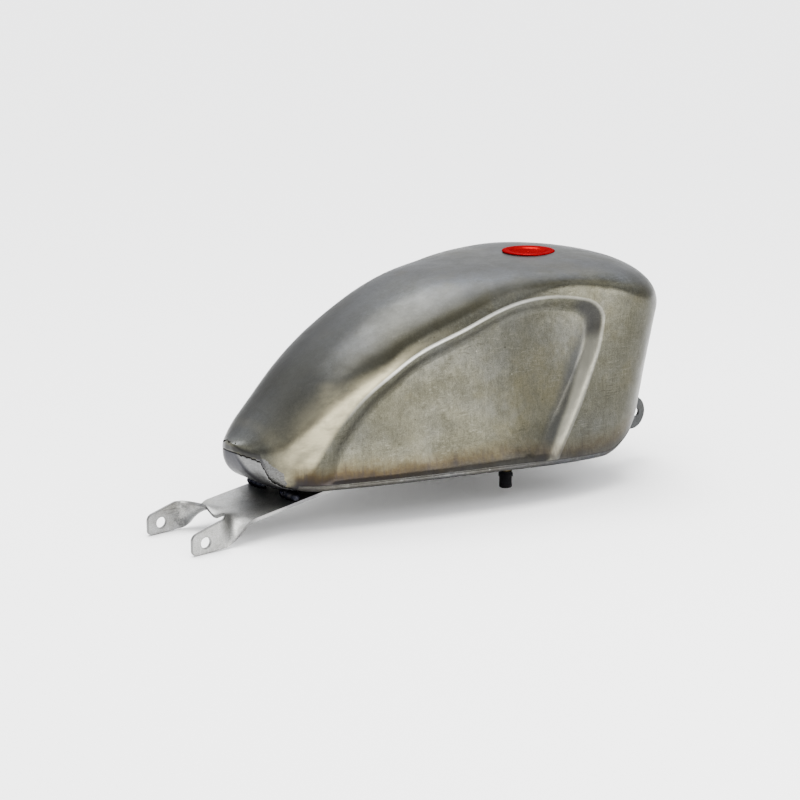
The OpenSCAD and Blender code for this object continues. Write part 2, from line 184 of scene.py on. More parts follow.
def profile(x, count):
    """Half a cross-section at station x, from the crown's middle round to the base's middle."""
    t, b, w = top_z(x), bot_z(x), half_w(x)
    zs = b + (t - b) * herm(LX, SHOULDER, x)
    n, lean = herm(LX, SHARP, x), herm(LX, LEAN, x)
    r = min(8 + 16 * (1 - ss(54, 120, x)), 0.6 * (zs - b), 0.6 * w)
    phi = np.linspace(math.pi / 2, 0, 900)
    y1, z1 = w * np.cos(phi).clip(0) ** (2 / n), zs + (t - zs) * np.sin(phi).clip(0) ** (2 / n)
    z2 = np.linspace(zs, b + r, 400)[1:]
    ang = np.linspace(0, math.pi / 2, 60)[1:]
    y3, z3 = w - r + r * np.cos(ang), b + r - r * np.sin(ang)
    y4 = np.linspace(w - r, 0, 120)[1:]
    y = np.concatenate([y1, np.full(len(z2), w), y3, y4])
    z = np.concatenate([z1, z2, z3, np.full(len(y4), b)])
    y = y * (1 - lean * (z - b) / max(t - b, 1e-3))
    s, _ = dish_s(np.full_like(z, x), z)
    side = np.arange(len(z)) < len(z) - len(y4)
    y = np.where(side, y - np.minimum(dish(np.full_like(z, x), z), 0.5 * np.abs(y)), y)
    dens = np.where(side, 1.0 + 1.3 * ss(-8, 0, s) * (1 - ss(18, 30, s)), 0.3)
    dens = np.convolve(np.pad(dens, 20, mode="edge"), np.ones(41) / 41, "valid")
    length = np.hypot(np.diff(y), np.diff(z)) * (dens[1:] + dens[:-1]) / 2
    arc = np.concatenate([[0], np.cumsum(length)])
    at = np.linspace(0, arc[-1], count)
    y, z = np.interp(at, arc, y), np.interp(at, arc, z)
    y[0] = y[-1] = 0.0
    return y, z


# ---------------------------------------------------------------- mesh helpers
def wob(p, freq, seed=0.0):
    return noise.noise(Vector((p[0] * freq + seed, p[1] * freq, p[2] * freq)))


def make_object(name, mesh, body="tank", slot=None, replaces=()):
    obj = bpy.data.objects.new(name, mesh)
    bpy.context.scene.collection.objects.link(obj)
    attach(obj, body)
    if slot:
        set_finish(obj, slot)
    if replaces:
        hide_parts(*replaces)
    return obj


def mesh_from(name, verts, faces, smooth=True):
    mesh = bpy.data.meshes.new(name)
    mesh.from_pydata([tuple(v) for v in np.asarray(verts, float) * MM], [], faces)
    mesh.update()
    if smooth:
        mesh.shade_smooth()
    return mesh


def cut(bm, fn):
    """Splits the faces of bm along the curve where fn(points) is 0."""
    bm.verts.index_update()
    co = np.array([v.co for v in bm.verts])
    f = fn(co)
    f = np.where(np.abs(f) < 1e-6, 1e-6, f)
    edges = [e for e in bm.edges if (f[e.verts[0].index] > 0) != (f[e.verts[1].index] > 0)]
    new = []
    for e in edges:
        a, b = e.verts
        fa, fb = f[a.index], f[b.index]
        new.append(bmesh.utils.edge_split(e, a, float(fa / (fa - fb)))[1])
    bmesh.ops.connect_verts(bm, verts=new, check_degenerate=False)
    bm.verts.index_update()


def thick_piece(name, faces, depth, attrs, centred=False):
    """A closed sheet of those faces, with the normals of the whole surface kept across its edges."""
    index, verts, normals = {}, [], []
    polys = []
    for fc in faces:
        poly = []
        for v in fc.verts:
            if v.index not in index:
                index[v.index] = len(verts)
                verts.append(tuple(v.co))
                normals.append(tuple(v.normal))
            poly.append(index[v.index])
        polys.append(poly)
    v, n = np.array(verts), np.array(normals)
    count = len(v)
    up, down = (depth / 2, depth / 2) if centred else (0.0, depth)
    allv = np.concatenate([v + n * up, v - n * down])
    seen = {}
    for poly in polys:
        for i, a in enumerate(poly):
            b = poly[(i + 1) % len(poly)]
            key = (min(a, b), max(a, b))
            seen.setdefault(key, []).append((a, b))
    rim = [e[0] for e in seen.values() if len(e) == 1]
    out = polys + [[i + count for i in reversed(p)] for p in polys]
    out += [[b, a, a + count, b + count] for a, b in rim]
    mesh = mesh_from(name, allv, out)
    loops = []
    for p in polys:
        loops += [tuple(n[i]) for i in p]
    for p in polys:
        loops += [tuple(-n[i]) for i in reversed(p)]
    for a, b in rim:
        along = v[b] - v[a]
        face = np.cross(n[a] + n[b], along)
        face = -face / max(np.linalg.norm(face), 1e-9)
        loops += [tuple(face)] * 4
    mesh.normals_split_custom_set(loops)
    order = np.array(sorted(index, key=index.get))
    for key, values in attrs.items():
        vals = np.asarray(values)[order]
        a = mesh.attributes.new(key, "FLOAT", "POINT")
        a.data.foreach_set("value", np.concatenate([vals, vals]).astype(np.float32))
    return mesh


# ---------------------------------------------------------------- pressed body
ROWS = 210
TAIL_ROWS_X, NOSE_ROWS_X = 91.0, 437.5
xs = np.concatenate([
    REAR_X + 0.04 + (TAIL_ROWS_X - REAR_X) * (1 - np.cos(np.linspace(0, math.pi / 2, 36))),
    np.linspace(TAIL_END_X, NOSE_ROWS_X, 176),
    NOSE_ROWS_X + (FRONT_X - 0.05 - NOSE_ROWS_X) * np.sin(np.linspace(0, math.pi / 2, 72))[1:]])
ring = 2 * (ROWS - 1)
points = []
for x in xs:
    y, z = profile(x, ROWS)
    full_y = np.concatenate([-y, y[-2:0:-1]])
    full_z = np.concatenate([z, z[-2:0:-1]])
    points.append(np.stack([np.full(ring, x), full_y, full_z], 1))
points = np.concatenate(points)
faces = []
for i in range(len(xs) - 1):
    for j in range(ring):
        k = (j + 1) % ring
        faces.append([i * ring + j, i * ring + k, (i + 1) * ring + k, (i + 1) * ring + j])
first, last = points[:ring].mean(0), points[-ring:].mean(0)
points = np.concatenate([points, [first - [0.03, 0, 0], last + [0.04, 0, 0]]])
for j in range(ring):
    k = (j + 1) % ring
    faces.append([len(points) - 2, k, j])
    faces.append([len(points) - 1, (len(xs) - 1) * ring + j, (len(xs) - 1) * ring + k])

bm = bmesh.new()
for p in points:
    bm.verts.new(p)
bm.verts.ensure_lookup_table()
for f in faces:
    bm.faces.new([bm.verts[i] for i in f])
bmesh.ops.recalc_face_normals(bm, faces=bm.faces)


def seam_curve(x):
    return bot_z(x) + SEAM_RISE


TAIL_X = [40, 50, 56.5, 63, 67.8, 69.8, 74.2, 78.6, 87, 99]
TAIL_Z = [71.0, 70.2, 68.3, 65.6, 62.5, 57.0, 47.2, 42.3, 37.0, 33.0]


def tail_curve(x, y=0.0):
    jag = 0.35 * np.sin(x * 2.1 + 0.06 * y) + 0.25 * np.sin(x * 4.7 + 1.0 + 0.3 * y)
    return np.interp(x, TAIL_X, TAIL_Z) + jag


def f_tail(p):
    d = p[:, 2] - tail_curve(p[:, 0], p[:, 1])
    return np.where(p[:, 0] < PAN_X0, d, AWAY)


def f_seam(p):
    inside = (p[:, 0] > PAN_X0 - 1) & (p[:, 0] < PAN_X1 + 1)
    return np.where(inside, p[:, 2] - seam_curve(p[:, 0]), AWAY)


def f_station(x0):
    return lambda p: np.where(p[:, 2] < seam_curve(p[:, 0]) + 8, p[:, 0] - x0, AWAY)


def f_tunnel_side(p):
    inside = (p[:, 0] > PAN_X0 - 0.6) & (p[:, 2] < roof_z(p[:, 0]) + SHEET + 3)
    return np.where(inside, np.abs(p[:, 1]) - TUNNEL_HALF - SHEET, AWAY)


def f_tunnel_roof(p):
    inside = (p[:, 0] > 470) & (np.abs(p[:, 1]) < TUNNEL_HALF + SHEET + 2)
    return np.where(inside, p[:, 2] - roof_z(p[:, 0]) - SHEET, AWAY)


def f_filler(p):
    from_axis = np.hypot(p[:, 0] - FILLER_X, p[:, 1])
    return np.where(p[:, 2] > NECK_REGION_Z, from_axis - NECK_R - 0.1, AWAY)


for off in (0.0, 0.5, -0.5, 1.3, -1.3):
    cut(bm, lambda p, off=off: f_tail(p) - off)
for fn in (f_seam, f_station(PAN_X0), f_station(PAN_X1), f_tunnel_side, f_tunnel_roof, f_filler):
    cut(bm, fn)
for off in (0.8, -0.8):
    cut(bm, lambda p, off=off: f_seam(p) - off)


def unevenness(p):
    """How far hand work leaves the sheet from its curve at p, in millimetres."""
    return 0.34 * wob(p, 0.017, 3.1) + 0.12 * wob(p, 0.05, 7.7) + 0.05 * wob(p, 0.16, 1.3)


# the unevenness dies out round the neck, and a shallow groove runs along each seam
bm.normal_update()
co = np.array([v.co for v in bm.verts])
nm = np.array([v.normal for v in bm.verts])
wave = np.array([unevenness(p) for p in co])
from_neck = np.maximum(0, np.hypot(co[:, 0] - FILLER_X, co[:, 1]) - NECK_R)
wave *= 1 - np.exp(-(from_neck / 9) ** 2) * (co[:, 2] > NECK_REGION_Z)
tail_d = f_tail(co)
by_pan = (co[:, 0] > PAN_X0 - 0.5) & (co[:, 0] < PAN_X1 + 0.5)
seam_d = np.where(by_pan, co[:, 2] - seam_curve(co[:, 0]), AWAY)
groove = 0.55 * np.exp(-(tail_d / 0.75) ** 2) + 0.25 * np.exp(-(seam_d / 0.9) ** 2)
co = co + nm * (wave - groove)[:, None]
for v, p in zip(bm.verts, co):
    v.co = p
bm.normal_update()

# the front edge of the patch that was ground bright beside the tail plate
PATCH_Z = [36, 42, 48.5, 54.5, 64.5]
PATCH_X = [89, 87.8, 85.7, 81.9, 70.5]
dish_in, dish_front = dish_s(co[:, 0], co[:, 2])
patch_d = np.where(co[:, 0] < 120, np.interp(co[:, 2], PATCH_Z, PATCH_X) - co[:, 0], -AWAY)
attrs = {
    "tail_d": tail_d,
    "seam_d": seam_d,
    "rise": co[:, 2] - bot_z(co[:, 0]),
    "dish_in": dish_in,
    "dish_front": dish_front,
    "up": np.array([v.normal.z for v in bm.verts]),
    "patch_d": np.where((co[:, 2] < 66) & (tail_d > 0), patch_d, -AWAY),
}
label = {"left_shell": [], "right_shell": [], "left_pan": [], "right_pan": [], "tail": []}
for fc in bm.faces:
    x, y, z = fc.calc_center_median()
    side = "left" if y > 0 else "right"
    if z > NECK_REGION_Z and math.hypot(x - FILLER_X, y) < NECK_R + 0.1:
        continue
    if x > PAN_X0 - 0.6 and abs(y) < TUNNEL_HALF + SHEET and z < roof_z(x) + SHEET:
        continue
    if x < PAN_X0 and z < float(tail_curve(x, y)):
        label["tail"].append(fc)
    elif PAN_X0 < x < PAN_X1 and z < float(seam_curve(x)):
        label[side + "_pan"].append(fc)
    else:
        label[side + "_shell"].append(fc)
SKINS = {
    "left_shell": ("left_shell_skin", "raw_steel", ["left_shell"]),
    "right_shell": ("right_shell_skin", "raw_steel", ["right_shell"]),
    "left_pan": ("left_pan_skin", "pan_steel", ["left_bottom_pan"]),
    "right_pan": ("right_pan_skin", "pan_steel", ["right_bottom_pan"]),
    "tail": ("tail_skin", "ground_steel", ["tail_plate"]),
}
skin = {}
for key, (name, slot, nodes) in SKINS.items():
    mesh = thick_piece(name, label[key], SHEET, attrs)
    skin[key] = make_object(name, mesh, "tank", slot, nodes)
bm.free()

# ---------------------------------------------------------------- rear bracket
STRAP_HALF, PLATE, REAR_HOLE_R, HOLE_Y, LEG_W = 40.5, 3.0, 5.4, 30.8, 27.0
STRAP_X, STRAP_Z, STRAP_SLOPE = 50.0, 12.0, 0.15
RAMP_X0, PAD_X0, PAD_X1, PAD_GAP = 196.0, 222.0, 276.0, 0.05
NOTCH_X, NOTCH_HALF, NOTCH_R = 35.5, 13.5, 4.0
# where the ears start, the radius of their corners, and how high the middle of a leg ends up
EAR_X, EAR_R, EAR_Z = 18.0, 4.9, 3.8
# each leg turns on edge over this length, rearward from this station
TWIST_X, TWIST_LEN = 54.0, 39.0
SPAN, SAMPLES = 43.0, 130


def strap_top(x):
    return STRAP_Z + STRAP_SLOPE * (x - STRAP_X)


def pad_mid(x):
    return roof_z(x) - PAD_GAP - PLATE / 2


def strap_mid(x):
    """Height of the middle of the plate along the strap, the ramp and the pad."""
    z0, z1 = strap_top(RAMP_X0) - PLATE / 2, pad_mid(PAD_X0)
    ramp = z0 + (z1 - z0) * c01((x - RAMP_X0) / (PAD_X0 - RAMP_X0))
    return np.where(x < RAMP_X0, strap_top(x) - PLATE / 2, np.where(x < PAD_X0, ramp, pad_mid(x)))


def strap_round(x):
    return sum(strap_mid(x + d) for d in (-5, -3, -1, 1, 3, 5)) / 6


def rounded(a, b, r):
    """Two edges that meet in a corner of radius r. Each is below 0 on its inner side."""
    a, b = a + r, b + r
    return np.minimum(np.maximum(a, b), 0) + np.hypot(np.maximum(a, 0), np.maximum(b, 0)) - r


def ear_f(x, z):
    """Below 0 inside the ear's outline, drawn in the plane of the ear."""
    def line(p, q):
        d = np.array(q, float) - np.array(p, float)
        n = np.array([d[1], -d[0]]) / np.hypot(*d)
        return (x - p[0]) * n[0] + (z - p[1]) * n[1]

    top = -line((-9.2, 10.1), (16, 17.2))
    low = line((-9.5, -10.8), (16, -9.7))
    tip = -line((-14.7, -6), (-14.7, 4.6))
    return np.maximum(rounded(top, tip, EAR_R), rounded(low, tip, EAR_R))


def bracket_f(p):
    """Below 0 inside the outline of the flat pattern: x along the strap, y across it."""
    x, v = p[:, 0], np.abs(p[:, 1])
    notch = -rounded(x - NOTCH_X, v - NOTCH_HALF, NOTCH_R)
    ear = np.where(x < EAR_X, ear_f(x, HOLE_Y - v), -AWAY)
    hole = REAR_HOLE_R - np.hypot(x, v - HOLE_Y)
    return np.maximum(np.maximum(notch, ear), hole)


def fair(values, mirror, kernel):
    """Smooths half a cross-section, carried on past its middle by its mirror image (-1 turns it over)."""
    n = len(kernel) // 2
    ends = mirror * values[n:0:-1], 2 * values[-1] - values[-2:-2 - n:-1]
    return np.convolve(np.concatenate([ends[0], values, ends[1]]), kernel, "valid")


def bracket_map(p):
    """Bends the flat pattern: a plain strap, then two legs that turn on edge to become the ears."""
    x, v = p[:, 0], p[:, 1]
    av = np.abs(v)
    out_y, out_z = np.zeros(len(x)), np.zeros(len(x))
    grid_v = np.linspace(0, SPAN, SAMPLES)
    kernel = np.exp(-(np.arange(-9, 10) * (SPAN / (SAMPLES - 1)) / 2.2) ** 2)
    kernel /= kernel.sum()
    for xx in np.unique(np.round(x, 3)):
        u = float(c01((TWIST_X - xx) / TWIST_LEN))
        e = u * u * (3 - 2 * u)
        th = math.pi / 2 * e
        yc = STRAP_HALF - LEG_W / 2 * math.cos(th) - PLATE / 2 * math.sin(th)
        zw = float(strap_round(xx))
        zc = zw
        if xx < TWIST_X:
            zc = (strap_top(TWIST_X) - PLATE / 2 - STRAP_SLOPE * TWIST_LEN * u) * (1 - e) + EAR_Z * e
        s = grid_v - LEG_W
        gy, gz = yc + s * math.cos(th), zc - s * math.sin(th)
        if xx > 20:
            y_in, z_in = yc - LEG_W / 2 * math.cos(th), zc + LEG_W / 2 * math.sin(th)
            h = c01(grid_v / NOTCH_HALF)
            web = grid_v < NOTCH_HALF
            gy = np.where(web, y_in * h, gy)
            gz = np.where(web, zw + (z_in - zw) * h * h * (3 - 2 * h), gz)
            k = ss(20, 30, xx)
            gy = gy * (1 - k) + fair(gy, -1, kernel) * k
            gz = gz * (1 - k) + fair(gz, 1, kernel) * k
        at = np.abs(x - xx) < 6e-4
        out_y[at] = np.interp(av[at], grid_v, gy) * np.sign(v[at])
        out_z[at] = np.interp(av[at], grid_v, gz)
    return np.stack([x, out_y, out_z], 1)


# finer steps where the plate bends or its edge is curved
gx = np.concatenate([
    np.arange(-16, 70, 0.8), np.arange(70, 190, 4.0), np.arange(190, 230, 1.5),
    np.arange(230, PAD_X1, 5.0), [PAD_X1]])
gv = np.arange(-42.0, 42.01, 0.8)
bm = bmesh.new()
grid = [[bm.verts.new((x, v, 0)) for v in gv] for x in gx]
for i in range(len(gx) - 1):
    for j in range(len(gv) - 1):
        bm.faces.new([grid[i][j], grid[i + 1][j], grid[i + 1][j + 1], grid[i][j + 1]])


def f_edge(p):
    return np.where(p[:, 0] > EAR_X, np.abs(p[:, 1]) - STRAP_HALF, -AWAY)


cut(bm, f_edge)
cut(bm, bracket_f)
doomed = []
for fc in bm.faces:
    c = np.array(fc.calc_center_median())[None]
    if bracket_f(c)[0] > 0 or f_edge(c)[0] > 0:
        doomed.append(fc)
bmesh.ops.delete(bm, geom=doomed, context="FACES")
bm.verts.index_update()
flat = np.array([v.co for v in bm.verts])
edge_d = -np.maximum(bracket_f(flat), np.abs(flat[:, 1]) - STRAP_HALF - 1.2 * (flat[:, 0] < EAR_X))
solid = bracket_map(flat)
for v, p in zip(bm.verts, solid):
    v.co = p
bm.normal_update()
if np.mean([f.normal.z for f in bm.faces]) < 0:
    for f in bm.faces:
        f.normal_flip()
    bm.normal_update()
attrs = {"edge_d": edge_d, "along": flat[:, 0], "across": flat[:, 1]}
mesh = thick_piece("bracket_sheet", list(bm.faces), PLATE, attrs, centred=True)
bracket = make_object("bracket_sheet", mesh, "tank", "bracket_steel", ["rear_bracket"])
bm.free()


# ---------------------------------------------------------------- welds
def heap(name, balls, nodes):
    """A lump of weld on the strap: balls run together, then roughened."""
    mesh = bpy.data.meshes.new(name)
    b = bmesh.new()
    for x, y, z, r in balls:
        ball = bmesh.ops.create_uvsphere(b, u_segments=20, v_segments=12, radius=r * MM)
        bmesh.ops.translate(b, verts=ball["verts"], vec=Vector((x, y, z)) * MM)
    b.to_mesh(mesh)
    b.free()
    obj = bpy.data.objects.new(name, mesh)
    bpy.context.scene.collection.objects.link(obj)
    run = obj.modifiers.new("run", "REMESH")
    run.mode = "VOXEL"
    run.voxel_size = 0.7 * MM
    soft = obj.modifiers.new("soft", "SMOOTH")
    soft.factor, soft.iterations = 0.5, 3
    bpy.context.view_layer.update()
    depsgraph = bpy.context.evaluated_depsgraph_get()
    done = bpy.data.meshes.new_from_object(obj.evaluated_get(depsgraph))
    bpy.data.objects.remove(obj)
    done.name = name
    for v in done.vertices:
        p = np.array(v.co) / MM
        rough = 0.5 * (0.6 * wob(p, 0.35, 5) + 0.4 * wob(p, 0.9, 2))
        q = p + np.array(v.normal) * rough
        q[2] = max(q[2], strap_top(q[0]) + 0.02)
        v.co = Vector(q * MM)
    done.update()
    done.shade_smooth()
    return make_object(name, done, "tank", "weld_steel", nodes)


for side, name in ((1, "left"), (-1, "right")):
    balls = []
    for i in range(11):
        y = 17.0 + i * 2.0
        swell = math.sin(math.pi * i / 10)
        balls.append((103.2 + 0.8 * math.sin(i * 2.3), side * y, 23.6 + 0.9 * swell, 4.4 + 1.3 * swell))
    heap(name + "_weld_lump", balls, [name + "_bracket_weld"])


def bead(name, path, radius, pitch, sides=10, step=0.45):
    """A run of weld with overlapping ripples along a path."""
    path = np.array(path, float)
    arc = np.concatenate([[0], np.cumsum(np.linalg.norm(np.diff(path, axis=0), axis=1))])
    count = int(arc[-1] / step) + 1
    s = np.linspace(0, arc[-1], count)
    p = np.stack([np.interp(s, arc, path[:, k]) for k in range(3)], 1)
    d = np.gradient(p, axis=0)
    d /= np.linalg.norm(d, axis=1)[:, None]
    u = np.cross([0, 0.02, 1], d)
    u /= np.linalg.norm(u, axis=1)[:, None]
    w = np.cross(d, u)
    saw = (s / pitch) % 1.0
    uneven = np.array([1 + 0.12 * noise.noise(Vector((t * 0.11, radius, 0))) for t in s])
    r = radius * (0.86 + 0.2 * saw * (1 - saw) * 4) * uneven
    r *= np.minimum(1, np.minimum(s, arc[-1] - s) / radius + 0.25)
    verts, polys = [], []
    for i in range(count):
        for k in range(sides):
            a = 2 * math.pi * k / sides
            verts.append(p[i] + r[i] * (math.cos(a) * u[i] + math.sin(a) * w[i]))
    for i in range(count - 1):
        for k in range(sides):
            m = (k + 1) % sides
            polys.append([i * sides + k, i * sides + m, (i + 1) * sides + m, (i + 1) * sides + k])
    polys.append(list(reversed(range(sides))))
    polys.append([(count - 1) * sides + k for k in range(sides)])
    return mesh_from(name, verts, polys)


def join(meshes, name):
    b = bmesh.new()
    for m in meshes:
        b.from_mesh(m)
    out = bpy.data.meshes.new(name)
    b.to_mesh(out)
    b.free()
    out.shade_smooth()
    return out


for side, name in ((1, "left"), (-1, "right")):
    path = []
    for x in np.arange(102, 474, 3.0):
        t, b, w = top_z(x), bot_z(x), half_w(x)
        z = b + SEAM_RISE
        r = 8 + 16 * (1 - ss(54, 120, x))
        y = w - r + math.sqrt(max(0, r * r - (b + r - z) ** 2)) if z < b + r else w
        y = y * (1 - herm(LX, LEAN, x) * (z - b) / (t - b)) - float(dish(np.array(x), np.array(z)))
        path.append((x, side * (y - 0.25), z))
    seam = bead(name + "_seam_bead", path, 0.8, 1.9, sides=8, step=0.5)
    make_object(name + "_seam_bead", seam, "tank", "weld_steel", [name + "_seam_weld"])
    y = side * (TUNNEL_HALF - 1.3)
    runs = [bead("tab_top", [(480.4, y, 61.7), (496.2, y, 64.0)], 1.8, 2.2),
            bead("tab_rear", [(479.5, y, 54), (479.6, y, 61.5)], 1.8, 2.2)]
    tab_bead = join(runs, name + "_tab_bead")
    make_object(name + "_tab_bead", tab_bead, "tank", "weld_steel", [name + "_tab_weld"])

PAD_BEAD_X0, PAD_BEAD_LEN = PAD_X0 + 6, 42.0
runs = []
for side in (1, -1):
    y = side * (STRAP_HALF + 0.6)
    ends = [(x, y, roof_z(x) - 1.3) for x in (PAD_BEAD_X0, PAD_BEAD_X0 + PAD_BEAD_LEN)]
    runs.append(bead("pad_run", ends, 1.6, 2.4))
make_object("strap_pad_bead", join(runs, "strap_pad_bead"), "tank", "weld_steel", ["strap_pad_weld"])

# the crown's weld is ground flush, so only its root is left, under the skins
runs = []
for x0, x1 in ((66, 390), (456, 528)):
    root = [(x, 0.0, float(top_z(np.array(float(x)))) - 2.7) for x in range(x0, x1 + 1, 4)]
    runs.append(bead("crown_run", root, 1.0, 2.6, sides=8, step=1.0))
make_object("crown_bead", join(runs, "crown_bead"), "tank", "weld_steel", ["crown_seam_weld"])


# ---------------------------------------------------------------- turned pieces
def lathe(name, prof, x, y, segments=128):
    """Turns a closed (radius, height) profile about an upright axis."""
    prof = np.array(prof, float)
    n = len(prof)
    verts, polys = [], []
    for s in range(segments):
        a = 2 * math.pi * s / segments
        for r, z in prof:
            verts.append((x + r * math.cos(a), y + r * math.sin(a), z))
    for s in range(segments):
        t = (s + 1) % segments
        for i in range(n):
            j = (i + 1) % n
            if prof[i][0] < 1e-6 and prof[j][0] < 1e-6:
                continue
            polys.append([s * n + i, s * n + j, t * n + j, t * n + i])
    mesh = bpy.data.meshes.new(name)
    b = bmesh.new()
    vs = [b.verts.new(Vector(v) * MM) for v in verts]
    for p in polys:
        b.faces.new([vs[i] for i in p])
    bmesh.ops.remove_doubles(b, verts=b.verts, dist=1e-7)
    bmesh.ops.recalc_face_normals(b, faces=b.faces)
    b.to_mesh(mesh)
    b.free()
    mesh.shade_smooth()
    return mesh


def fillet(points, radii, steps=5):
    """Rounds the corners of a closed polygon."""
    out = []
    n = len(points)
    for i, (p, r) in enumerate(zip(points, radii)):
        p = np.array(p, float)
        a = np.array(points[i - 1], float) - p
        b = np.array(points[(i + 1) % n], float) - p
        la, lb = np.hypot(*a), np.hypot(*b)
        if r <= 0:
            out.append(tuple(p))
            continue
        a, b = a / la, b / lb
        r = min(r, 0.45 * la, 0.45 * lb)
        for k in range(steps + 1):
            t = k / steps
            q = (1 - t) ** 2 * (p + a * r) + 2 * t * (1 - t) * p + t * t * (p + b * r)
            out.append(tuple(q))
    return out


NECK_DROP, SEAT_GAP = 0.9, 0.3
# the flange of the plug rests at z, just above the neck, whose rim is a little below the crown
z = float(top_z(np.array(FILLER_X))) - NECK_DROP + SEAT_GAP
plug_prof = fillet(
    [(0, z - 2.2), (NECK_BORE_R - 2.1, z - 2.2), (NECK_BORE_R - 2.1, z - 14), (NECK_BORE_R - 0.05, z - 14),
     (NECK_BORE_R - 0.05, z), (PLUG_R, z), (PLUG_R, z + 1.7), (PLUG_R - 2.6, z + 1.9),
     (NECK_BORE_R - 3.0, z + 1.3), (NECK_BORE_R - 5.0, z - 0.2), (1.6, z - 0.2), (1.3, z + 0.25),
     (0, z + 0.3)],
    [0, 0.4, 0.3, 0.4, 0.3, 0.7, 0.9, 1.6, 1.2, 1.0, 0.2, 0.3, 0])
plug_mesh = lathe("plug_cap", plug_prof, FILLER_X, 0, 160)
plug = make_object("plug_cap", plug_mesh, "plug", "plug_plastic", ["filler_plug"])

CAP_R, CAP_RIB_R, CAP_LOW, CAP_TOP = 6.3, 7.1, 2.0, 19.0
bore = SPIGOT_R + 0.05
cap_prof = fillet(
    [(0, CAP_LOW), (CAP_R, CAP_LOW), (CAP_R, 13.4), (CAP_RIB_R, 13.4), (CAP_RIB_R, 17), (CAP_R, 17),
     (CAP_R, CAP_TOP), (bore, CAP_TOP), (bore, 4.6), (0, 4.6)],
    [0, 1.3, 0.3, 0.6, 0.6, 0.15, 0.4, 0.3, 0.3, 0])
cap_mesh = lathe("outlet_cap_body", cap_prof, OUTLET_X, OUTLET_Y, 96)
cap = make_object("outlet_cap_body", cap_mesh, "cap", "cap_rubber", ["outlet_cap"])


# ---------------------------------------------------------------- materials
CRACK_BLACK = (0.025, 0.022, 0.02)
# a dark smudge colour, also used as painted shade in the corner of the dish
SMUDGE_AND_SHADE = (0.10, 0.10, 0.11)


def grey(value):
    return (value, value, value)


